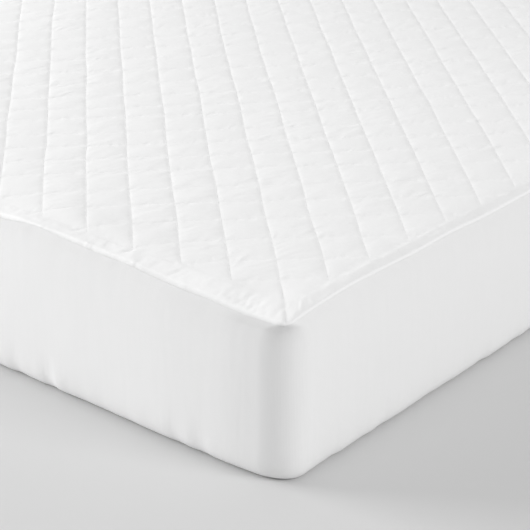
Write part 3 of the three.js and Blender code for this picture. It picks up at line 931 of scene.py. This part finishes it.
def add_ridge(shape, way, border, height):
    """Adds the roll that turns down to the seam, and the turned edge below it. Returns the last
    row's numbers and plan."""
    seam = ring(way, 0, SEAM_CORNER)
    seam_height = settings().mattress.seam_height + seam_rise(*seam.T)
    low = seam_height + ROLL_FOOT
    puckers = ROLL_PUCKER * noise(distance_round(seam), 0.5, ROLL_NOISE)
    rows = [border]
    for turned in ROLL_TURNS:
        plan = ring(way, roll_inset(way, turned), SEAM_CORNER)
        turning = low + (height - low) * cos(turned) / cos(ROLL_START) + puckers * cos(turned)
        rows.append(add_row(shape, plan, turning))
    for inset, lift in TURNED_ROWS:
        plan = ring(way, inset, SEAM_CORNER)
        rows.append(add_row(shape, plan, seam_height + lift))
    shape.add_bands(rows)
    return rows[-1], plan


def add_underside(shape, edge, edge_way):
    """Closes the panel below, at an even depth under the crown, with coarser rows."""
    way = way_round(fine=60 * MM, coarse=60 * MM, arc_steps=3)
    plans = [ring(way, inset, INNER_CORNER) for inset in UNDERSIDE_ROWS]
    rows = [add_row(shape, plan, crown(*plan.T) - PANEL_THICKNESS) for plan in plans]
    shape.add_zip(rows[0], edge, way_of(*plans[0].T), edge_way, facing_down=True)
    shape.add_bands(rows)
    middle = add_row(shape, MIDDLE, crown(*MIDDLE.T) - PANEL_THICKNESS)
    shape.add_lid(rows[-1], middle[0], facing_down=True)


def quilted_top():
    """The panel: the stitched field, the puffed border, the seam's ridge, and the underside. Its
    attribute says how slack the cloth is."""
    shape = Gathered()
    edge, edge_way = quilted_field(shape)
    way = way_round(fine=3.2 * MM, coarse=12 * MM, arc_steps=20)
    border, height = add_border(shape, way, edge, edge_way)
    turned_edge, plan = add_ridge(shape, way, border, height)
    add_underside(shape, turned_edge, way_of(*plan.T))
    piece = shape.make("quilted_panel")
    slack = 1 - tautness(*np.concatenate(shape.points)[:, :2].T)
    attribute = piece.data.attributes.new("slack", "FLOAT", "POINT")
    attribute.data.foreach_set("value", slack.astype(np.float32))
    return piece


# The quilting thread


def add_stitches(shape, x, y, height):
    """Adds the stitches of one seam, from places along it one stitch apart.

    Each is a spindle of eight triangles, drawn out along the seam.
    """
    if len(x) < FEWEST_STITCHES:
        return
    q = settings().quilt
    places = np.column_stack([x, y, height])
    along = np.gradient(places, axis=0)
    along /= np.linalg.norm(along, axis=1, keepdims=True)
    level = np.cross((0, 0, 1), along)
    level /= np.linalg.norm(level, axis=1, keepdims=True)
    up = np.cross(along, level)
    across = np.cross(up, along)
    long, thick = along * q.stitch_length * STITCH_SHARE, q.thread / 2
    corners = np.stack([long, -long, across * thick, -across * thick, up * thick, -up * thick], axis=1)
    numbers = shape.add_points((places[:, None] + corners).reshape(-1, 3)).reshape(-1, 6)
    for triangle in SPINDLE:
        shape.triangles.append(numbers[:, triangle])


def stitches():
    """The quilting thread: a stitch every few millimetres along both families of lines."""
    m, q = settings().mattress, settings().quilt
    shape = Gathered()
    reach = (m.width + m.length) / q.pitch
    steps = np.arange(-reach, reach, q.stitch_length / q.pitch)
    for line in range(-int(reach), int(reach)):
        on_line = np.full(len(steps), line)
        for a, b, lift in ((on_line, steps, STITCH_LIFT), (steps, on_line, 0)):
            x, y = stitch_place(a, b)
            inside = np.flatnonzero(np.minimum(*room_inside(x, y)) > STITCH_MARGIN)
            a, b, x, y = a[inside], b[inside], x[inside], y[inside]
            add_stitches(shape, x, y, quilt_height(a, b, x, y) + lift)
    return shape.make("quilting_stitches")


# The skirt


def smooth_rows(table, steps):
    """A smooth curve through the rows of a table: a cubic between neighbours, with each row's
    slope taken from the rows on both sides of it."""
    rows = np.asarray(table, float)
    before = np.vstack([2 * rows[0] - rows[1], rows[:-1]])
    after = np.vstack([rows[1:], 2 * rows[-1] - rows[-2]])
    slope = (after - before) / 2
    place = np.linspace(0, len(rows) - 1, steps)
    k = np.minimum(place.astype(int), len(rows) - 2)
    return cubic((place - k)[:, None], rows[k], slope[k], rows[k + 1], slope[k + 1])


def wall_rows(top, side, steps):
    """Rows of a side wall: inset, corner radius, height over the floor, share of the seam's rise."""
    seam_height = settings().mattress.seam_height / MM
    counted_down = [(inset, corner, seam_height + height, follow) for inset, corner, height, follow in top]
    rows = smooth_rows([*counted_down, *side], steps)
    rows[:, :3] *= MM
    rows[:, 2] = np.maximum(rows[:, 2], min(row[2] for row in side) * MM)
    return rows


def stands_back(way, plan):
    """How far the foot's side stands back near its right corner, fading out round the corner."""
    foot_end = np.clip(-outwards(way)[:, 1], 0, 1) ** 2 * (plan[:, 0] > 0)
    return along_table(FOOT_STANDS_BACK, settings().mattress.width / 2 - plan[:, 0]) * foot_end


def skirt_waves(way, plan, round_it, level):
    """How far the skirt's face lies out of its even place at one height.

    Ripples die away under the seam, wide sways show halfway down, gathers grow towards the hem,
    and the foot's side stands back near its right corner.
    """
    m, s = settings().mattress, settings().skirt
    below = m.seam_height - level
    near_seam = np.exp(-below / RIPPLE_DIES) * np.clip(below / RIPPLE_GROWS, 0, 1)
    ripples = s.ripple * sum(noise(round_it, below, grid) for grid in RIPPLE_NOISES) * near_seam
    halfway = np.clip(below / SWAY_GROWS, 0, 1) * np.clip(level / SWAY_ENDS, 0, 1)
    sway = s.sway * noise(round_it, below, SWAY_NOISE) * halfway
    low = np.clip(1 - level / HEM_GATHERS_START, 0, 1) ** 2 * (level > HEM_FLAT)
    hem_noise = (s.hem_gather_pitch, HEM_NOISE_STEP, HEM_NOISE_SEED)
    gathers = s.hem_gather * noise(round_it, below, hem_noise) * low
    back = stands_back(way, plan) * np.clip(below / STANDS_BACK_BELOW, 0, 1)
    return ripples + sway + gathers - back


def skirt():
    """The stretch skirt: a sheet from under the seam's ridge, down the sides and in under the mattress.

    Its UV map is measured along the cloth: round the mattress, and down from the seam.
    """
    way = way_round(fine=5 * MM, coarse=11 * MM, arc_steps=18)
    rise = seam_rise(*ring(way, 0, SEAM_CORNER).T)
    round_it = distance_round(ring(way, 0, SKIRT_CORNER))
    walls = []
    for inset, corner, level, follow in wall_rows(SKIRT_TOP, SKIRT_SIDE, SKIRT_ROWS):
        plan = ring(way, inset, corner)
        plan = plan + outwards(way) * skirt_waves(way, plan, round_it, level)[:, None]
        walls.append(with_height(plan, level + follow * rise))
    steps = [np.mean(np.linalg.norm(low - high, axis=1)) for high, low in zip(walls[:-1], walls[1:])]
    shape = Gathered()
    shape.add_bands([
        shape.add_points(points, np.column_stack([round_it, np.full(len(round_it), down)]))
        for points, down in zip(walls, np.cumsum([0, *steps]))
    ])
    piece = shape.make("stretch_skirt")
    thick = piece.modifiers.new("Cloth thickness", "SOLIDIFY")
    thick.thickness = settings().skirt.cloth
    thick.offset = -1
    return piece


# The mattress inside


def mattress():
    """The plain mattress: a flat base, rounded sides and a crowned top just under the panel."""
    shape = Gathered()
    way = way_round(fine=25 * MM, coarse=25 * MM, arc_steps=8)
    rise = seam_rise(*ring(way, 0, SEAM_CORNER).T)
    rows = []
    for inset in BASE_ROWS:
        rows.append(shape.add_points(with_height(ring(way, inset, INNER_CORNER), BASE_HEIGHT)))
    wall = wall_rows(MATTRESS_RIM[::-1], MATTRESS_SIDE[::-1], MATTRESS_ROWS)
    for inset, corner, level, follow in wall[::-1]:
        plan = ring(way, inset, corner)
        plan = plan - outwards(way) * stands_back(way, plan)[:, None]
        rows.append(shape.add_points(with_height(plan, level + follow * rise)))
    for inset, clearance in MATTRESS_TOP:
        plan = ring(way, inset, INNER_CORNER)
        rows.append(shape.add_points(with_height(plan, crown(*plan.T) - PANEL_THICKNESS - clearance)))
    shape.add_bands(rows[::-1])
    base = shape.add_points(with_height(MIDDLE, BASE_HEIGHT))
    shape.add_lid(rows[0], base[0], facing_down=True)
    top = shape.add_points(with_height(MIDDLE, crown(*MIDDLE.T) - PANEL_THICKNESS - TOP_CLEARANCE))
    shape.add_lid(rows[-1], top[0])
    return shape.make("plain_mattress")


# Nodes of the finishes


def new_material(name):
    """A material with a plain Principled BSDF, its node tree and that shader."""
    material = bpy.data.materials.new(name)
    material.use_nodes = True
    tree = material.node_tree
    return material, tree, tree.nodes["Principled BSDF"]


def set_inputs(made, inputs):
    """Sets inputs of a node to values, or links them to other nodes' outputs."""
    for name, value in inputs.items():
        if isinstance(value, bpy.types.NodeSocket):
            made.id_data.links.new(value, made.inputs[name])
        else:
            made.inputs[name].default_value = value


def node(tree, kind, inputs=None, **values):
    """A node of a tree, with its values set and its inputs set or linked."""
    made = tree.nodes.new(kind)
    for name, value in values.items():
        setattr(made, name, value)
    set_inputs(made, inputs or {})
    return made


def maths(tree, operation, first, second=0.0, clamp=False):
    """The output of one arithmetic node."""
    made = node(tree, "ShaderNodeMath", {0: first, 1: second}, operation=operation, use_clamp=clamp)
    return made.outputs[0]


def noise_texture(tree, place, scale, detail=2.0, roughness=0.5):
    """A noise texture's node, at a place."""
    inputs = {"Vector": place, "Scale": scale, "Detail": detail, "Roughness": roughness}
    return node(tree, "ShaderNodeTexNoise", inputs)


def bump(tree, height, distance, strength=1.0, over=None):
    """The normal of a surface that a height raises, over the relief of another normal."""
    inputs = {"Height": height, "Distance": distance, "Strength": strength}
    if over is not None:
        inputs["Normal"] = over
    return node(tree, "ShaderNodeBump", inputs).outputs[0]


# Effects that materials share, each a node group


def use_group(tree, name, inputs):
    """Places a shared effect in a tree and returns its output. Its first use makes its group."""
    make, kinds, output, output_kind = EFFECTS[name]
    group = bpy.data.node_groups.get(name)
    if not group:
        group = bpy.data.node_groups.new(name, "ShaderNodeTree")
        for label, kind in kinds.items():
            group.interface.new_socket(label, in_out="INPUT", socket_type="NodeSocket" + kind)
        group.interface.new_socket(output, in_out="OUTPUT", socket_type="NodeSocket" + output_kind)
        given, result = group.nodes.new("NodeGroupInput"), group.nodes.new("NodeGroupOutput")
        group.links.new(make(group, given.outputs), result.inputs[output])
    return node(tree, "ShaderNodeGroup", inputs, node_tree=group).outputs[output]


def weave(group, given):
    """Two sets of threads as fine waves at right angles, the higher one showing."""
    places = node(group, "ShaderNodeSeparateXYZ", {0: given["Place"]})
    turns = maths(group, "MULTIPLY", given["Threads per metre"], 2 * pi)
    warp = maths(group, "SINE", maths(group, "MULTIPLY", places.outputs[0], turns))
    weft = maths(group, "SINE", maths(group, "MULTIPLY", places.outputs[1], turns))
    over = maths(group, "MULTIPLY", warp, weft)
    return maths(group, "ADD", maths(group, "MULTIPLY", over, 0.5), 0.5)


def crinkles(group, given):
    """Noise stretched along one direction and a little bent, folded at its middle into ridges."""
    inputs = {"Vector": given["Place"], "Angle": given["Turn"]}
    turned = node(group, "ShaderNodeVectorRotate", inputs, rotation_type="Z_AXIS").outputs[0]
    bend = noise_texture(group, turned, CRINKLE_BENDS, detail=0.0).outputs["Color"]
    bent = node(group, "ShaderNodeVectorMath", {0: bend, 1: CRINKLE_BEND}, operation="MULTIPLY")
    moved = node(group, "ShaderNodeVectorMath", {0: turned, 1: bent.outputs[0]}, operation="ADD")
    places = node(group, "ShaderNodeSeparateXYZ", {0: moved.outputs[0]})
    along = maths(group, "DIVIDE", places.outputs[0], given["Length"])
    across = maths(group, "DIVIDE", places.outputs[1], given["Width"])
    drawn = node(group, "ShaderNodeCombineXYZ", {0: along, 1: across}).outputs[0]
    waves = noise_texture(group, drawn, scale=1.0, detail=1.0, roughness=0.4).outputs[0]
    off_middle = maths(group, "MULTIPLY", maths(group, "SUBTRACT", waves, 0.5), CRINKLE_FALL)
    ridge = maths(group, "SUBTRACT", 1.0, maths(group, "MULTIPLY", off_middle, off_middle), clamp=True)
    return maths(group, "POWER", ridge, given["Sharpness"])


def uneven_tint(group, given):
    """A colour made a little darker where a pattern is low."""
    inputs = {"Value": given["Pattern"], "To Min": given["Darkest"], "To Max": 1.0}
    tint = node(group, "ShaderNodeMapRange", inputs).outputs[0]
    shade = node(group, "ShaderNodeVectorMath", {0: given["Colour"], "Scale": tint}, operation="SCALE")
    return shade.outputs[0]


# The effects by name: their function, the kinds of their inputs, their output and its kind
EFFECTS = {
    "Plain weave": (
        weave, {"Place": "Vector", "Threads per metre": "Float"}, "Height", "Float",
    ),
    "Crinkles": (
        crinkles,
        {"Place": "Vector", "Turn": "Float", "Length": "Float", "Width": "Float", "Sharpness": "Float"},
        "Height", "Float",
    ),
    "Uneven tint": (
        uneven_tint, {"Colour": "Color", "Pattern": "Float", "Darkest": "Float"}, "Colour", "Color",
    ),
}


# Materials


def crinkled(tree, place, crinkle):
    """The height of crinkles at a place, from a row of their table."""
    turn, length, width, sharpness, high = crinkle
    sizes = {"Turn": radians(turn), "Length": length, "Width": width, "Sharpness": sharpness}
    return maths(tree, "MULTIPLY", use_group(tree, "Crinkles", {"Place": place, **sizes}), high)


def tinted(tree, tone, pattern, darkest):
    """A finish's colour, a little darker where a pattern is low."""
    return use_group(tree, "Uneven tint", {"Colour": (*tone, 1), "Pattern": pattern, "Darkest": darkest})


def beside_line(tree, axis):
    """1 on the stitch lines of one family, falling to 0 over less than half a pitch beside them."""
    pattern = node(tree, "ShaderNodeUVMap", uv_map="pattern").outputs[0]
    place = node(tree, "ShaderNodeSeparateXYZ", {0: pattern}).outputs[axis]
    wrapped = maths(tree, "FRACT", maths(tree, "ADD", place, 0.5))
    off_line = maths(tree, "ABSOLUTE", maths(tree, "SUBTRACT", wrapped, 0.5))
    falling = maths(tree, "SUBTRACT", 1.0, maths(tree, "MULTIPLY", off_line, BESIDE_FALL), clamp=True)
    return maths(tree, "POWER", falling, BESIDE_POWER)


def cotton_material():
    """White cotton: plain weave, crinkles drawn across each diamond, and puckers beside the stitches."""
    material, tree, shader = new_material("quilted cotton")
    place = node(tree, "ShaderNodeTexCoord").outputs["Object"]
    patches = noise_texture(tree, place, scale=9.0, detail=1.0).outputs[0]
    patchy = {"Value": patches, "From Min": CRINKLED_FROM, "From Max": CRINKLED_TO}
    worn = node(tree, "ShaderNodeMapRange", patchy).outputs[0]
    drag, fine = (
        maths(tree, "MULTIPLY", crinkled(tree, place, crinkle), worn)
        for crinkle in (DRAG_CRINKLES, FINE_CRINKLES)
    )
    puckers = [
        maths(tree, "MULTIPLY", crinkled(tree, place, crinkle), beside_line(tree, axis))
        for axis, crinkle in enumerate(STITCH_CRINKLES)
    ]
    folds = maths(tree, "ADD", maths(tree, "ADD", drag, fine), maths(tree, "ADD", *puckers))
    slack = node(tree, "ShaderNodeAttribute", attribute_name="slack").outputs["Fac"]
    crumpled = bump(tree, maths(tree, "MULTIPLY", folds, slack), distance=0.0006)
    threads = use_group(tree, "Plain weave", {"Place": place, "Threads per metre": 1500.0})
    set_inputs(shader, {
        "Base Color": tinted(tree, settings().finish.cotton, patches, darkest=0.985),
        "Normal": bump(tree, threads, distance=0.00012, strength=0.25, over=crumpled),
        "Roughness": 0.9,
        "Specular IOR Level": 0.2,
        "Sheen Weight": 0.1,
    })
    return material


def thread_material():
    """Plain white sewing thread."""
    material, _, shader = new_material("sewing thread")
    set_inputs(shader, {"Base Color": (*settings().finish.thread, 1), "Roughness": 0.7})
    return material


def knit_material():
    """White stretch knit: fine upright ribs, crossed by softer courses, with faint uneven streaks."""
    material, tree, shader = new_material("stretch knit")
    pattern = node(tree, "ShaderNodeUVMap", uv_map="pattern").outputs[0]
    places = node(tree, "ShaderNodeSeparateXYZ", {0: pattern})
    ribs = maths(tree, "SINE", maths(tree, "MULTIPLY", places.outputs[0], pi / RIB_PITCH))
    courses = maths(tree, "SINE", maths(tree, "MULTIPLY", places.outputs[1], 2 * pi / COURSE_PITCH))
    low_courses = maths(tree, "MULTIPLY", courses, COURSE_SHARE)
    knit = maths(tree, "ADD", maths(tree, "ABSOLUTE", ribs), low_courses)
    streaks = node(tree, "ShaderNodeMapping", {"Vector": pattern, "Scale": STREAKS}).outputs[0]
    uneven = noise_texture(tree, streaks, scale=1.0).outputs[0]
    streaky = bump(tree, uneven, distance=0.00025)
    set_inputs(shader, {
        "Base Color": tinted(tree, settings().finish.knit, uneven, darkest=0.975),
        "Normal": bump(tree, knit, distance=0.00012, strength=0.3, over=streaky),
        "Roughness": 0.85,
        "Specular IOR Level": 0.25,
        "Sheen Weight": 0.08,
    })
    return material


def ticking_material():
    """The mattress's own cover: a plain, slightly uneven woven ticking."""
    material, tree, shader = new_material("ticking")
    place = node(tree, "ShaderNodeTexCoord").outputs["Object"]
    patches = noise_texture(tree, place, scale=14.0, detail=3.0).outputs[0]
    threads = use_group(tree, "Plain weave", {"Place": place, "Threads per metre": 900.0})
    set_inputs(shader, {
        "Base Color": tinted(tree, settings().finish.ticking, patches, darkest=0.92),
        "Normal": bump(tree, threads, distance=0.0002, strength=0.4),
        "Roughness": 0.9,
    })
    return material


def floor_material():
    """A pale floor, slightly uneven."""
    material, tree, shader = new_material("pale floor")
    place = node(tree, "ShaderNodeTexCoord").outputs["Object"]
    grain = noise_texture(tree, place, scale=3.0).outputs[0]
    set_inputs(shader, {
        "Base Color": tinted(tree, settings().finish.floor, grain, darkest=0.985),
        "Roughness": 0.8,
    })
    return material


# Operators for the pieces


def dress(piece, material, slot, *nodes):
    """Gives a piece its material, seats it on the body, and puts it in its nodes' place. The slot is not
    used.
    """
    piece.data.materials.append(material)
    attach(piece, "root")
    if nodes:
        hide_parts(*nodes)


class PROTECTOR_OT_quilted_top(Operator):
    """Makes the quilted cotton panel with its border and seam ridge."""

    bl_idname = "protector.quilted_top"
    bl_label = "Quilted panel"

    def execute(self, context):
        piece = quilted_top()
        dress(piece, cotton_material(), "quilted_cotton", "quilted_top")
        return {"FINISHED"}


class PROTECTOR_OT_stitches(Operator):
    """Makes the quilting stitches."""

    bl_idname = "protector.stitches"
    bl_label = "Quilting stitches"

    def execute(self, context):
        dress(stitches(), thread_material(), "quilted_cotton")
        return {"FINISHED"}


class PROTECTOR_OT_skirt(Operator):
    """Makes the stretch skirt, drawn in under the mattress."""

    bl_idname = "protector.skirt"
    bl_label = "Stretch skirt"

    def execute(self, context):
        piece = skirt()
        dress(piece, knit_material(), "stretch_knit", "skirt")
        return {"FINISHED"}


class PROTECTOR_OT_mattress(Operator):
    """Makes the plain mattress that the cloth is fitted over."""

    bl_idname = "protector.mattress"
    bl_label = "Mattress"

    def execute(self, context):
        piece = mattress()
        dress(piece, ticking_material(), "mattress_cover", "mattress")
        return {"FINISHED"}


# The stage


def towards(azimuth, elevation):
    """The direction from the object to something seen at an azimuth and an elevation."""
    return Vector((sin(azimuth) * cos(elevation), -cos(azimuth) * cos(elevation), sin(elevation)))


def add_light(name, corner, sizes, strength):
    """A soft rectangular light that faces the seam's corner and isn't seen itself."""
    azimuth, elevation, distance, width, height = sizes
    data = bpy.data.lights.new(name, "AREA")
    data.shape = "RECTANGLE"
    data.size, data.size_y = width, height
    data.energy = strength
    light = add_object(name, data)
    back = towards(radians(azimuth), radians(elevation))
    light.location = corner + back * distance
    light.rotation_euler = (-back).to_track_quat("-Z", "Y").to_euler()
    light.visible_camera = False


def add_floor():
    """A wide, flat floor."""
    mesh = bpy.data.meshes.new("floor")
    corners = FLOOR_HALF * np.array([(-1, -1, 0), (1, -1, 0), (1, 1, 0), (-1, 1, 0)])
    mesh.from_pydata(corners.tolist(), [], [(0, 1, 2, 3)])
    mesh.materials.append(floor_material())
    add_object("floor", mesh)


def add_surroundings():
    """Even white light from all round."""
    world = bpy.data.worlds.new("surroundings")
    world.use_nodes = True
    background = world.node_tree.nodes["Background"]
    set_inputs(background, {"Color": (1, 1, 1, 1), "Strength": settings().stage.surroundings})
    bpy.context.scene.world = world


def add_camera(corner):
    """The camera, at its distance from the point it looks at."""
    stage = settings().stage
    camera = add_object("camera", bpy.data.cameras.new("camera"))
    back = towards(stage.azimuth, stage.elevation)
    camera.location = corner + Vector(stage.aim) + back * stage.distance
    camera.rotation_euler = (-back).to_track_quat("-Z", "Y").to_euler()
    camera.data.lens = stage.lens
    camera.data.clip_end = FARTHEST_VIEW
    bpy.context.scene.camera = camera


class PROTECTOR_OT_stage(Operator):
    """Makes the floor, the surroundings, the lights and the camera."""

    bl_idname = "protector.stage"
    bl_label = "Stage"

    def execute(self, context):
        m, stage = settings().mattress, settings().stage
        corner = Vector((m.width / 2, -m.length / 2, m.seam_height))
        add_floor()
        add_surroundings()
        context.scene.view_settings.view_transform = "Standard"
        add_light("key", corner, KEY_LIGHT, stage.key)
        add_light("fill", corner, FILL_LIGHT, stage.fill)
        add_camera(corner)
        return {"FINISHED"}


OPERATORS = (
    PROTECTOR_OT_stage,
    PROTECTOR_OT_mattress,
    PROTECTOR_OT_skirt,
    PROTECTOR_OT_quilted_top,
    PROTECTOR_OT_stitches,
)
GROUPS = (MattressSizes, QuiltSizes, SkirtSizes, Finish, StageSettings, ProtectorSettings)


class PROTECTOR_PT_panel(Panel):
    """Lists the pieces and the settings in the sidebar."""

    bl_idname = "PROTECTOR_PT_panel"
    bl_label = "Mattress protector"
    bl_space_type = "VIEW_3D"
    bl_region_type = "UI"
    bl_category = "Protector"

    def draw(self, context):
        for operator in OPERATORS:
            self.layout.operator(operator.bl_idname)
        for name in ("mattress", "quilt", "skirt", "finish", "stage"):
            group = getattr(settings(), name)
            box = self.layout.box()
            box.label(text=name.capitalize())
            for prop in group.bl_rna.properties:
                if not prop.is_readonly and prop.identifier != "name":
                    box.prop(group, prop.identifier)


CLASSES = (*GROUPS, *OPERATORS, PROTECTOR_PT_panel)


def register():
    """Registers the classes, and gives the scene its settings."""
    for kind in CLASSES:
        bpy.utils.register_class(kind)
    bpy.types.Scene.protector = PointerProperty(type=ProtectorSettings)


def unregister():
    """Takes the scene's settings and the classes away again."""
    del bpy.types.Scene.protector
    for kind in reversed(CLASSES):
        bpy.utils.unregister_class(kind)


def main():
    """Makes every piece."""
    register()
    bpy.ops.protector.stage()
    bpy.ops.protector.mattress()
    bpy.ops.protector.skirt()
    bpy.ops.protector.quilted_top()
    bpy.ops.protector.stitches()


if __name__ == "__main__":
    main()
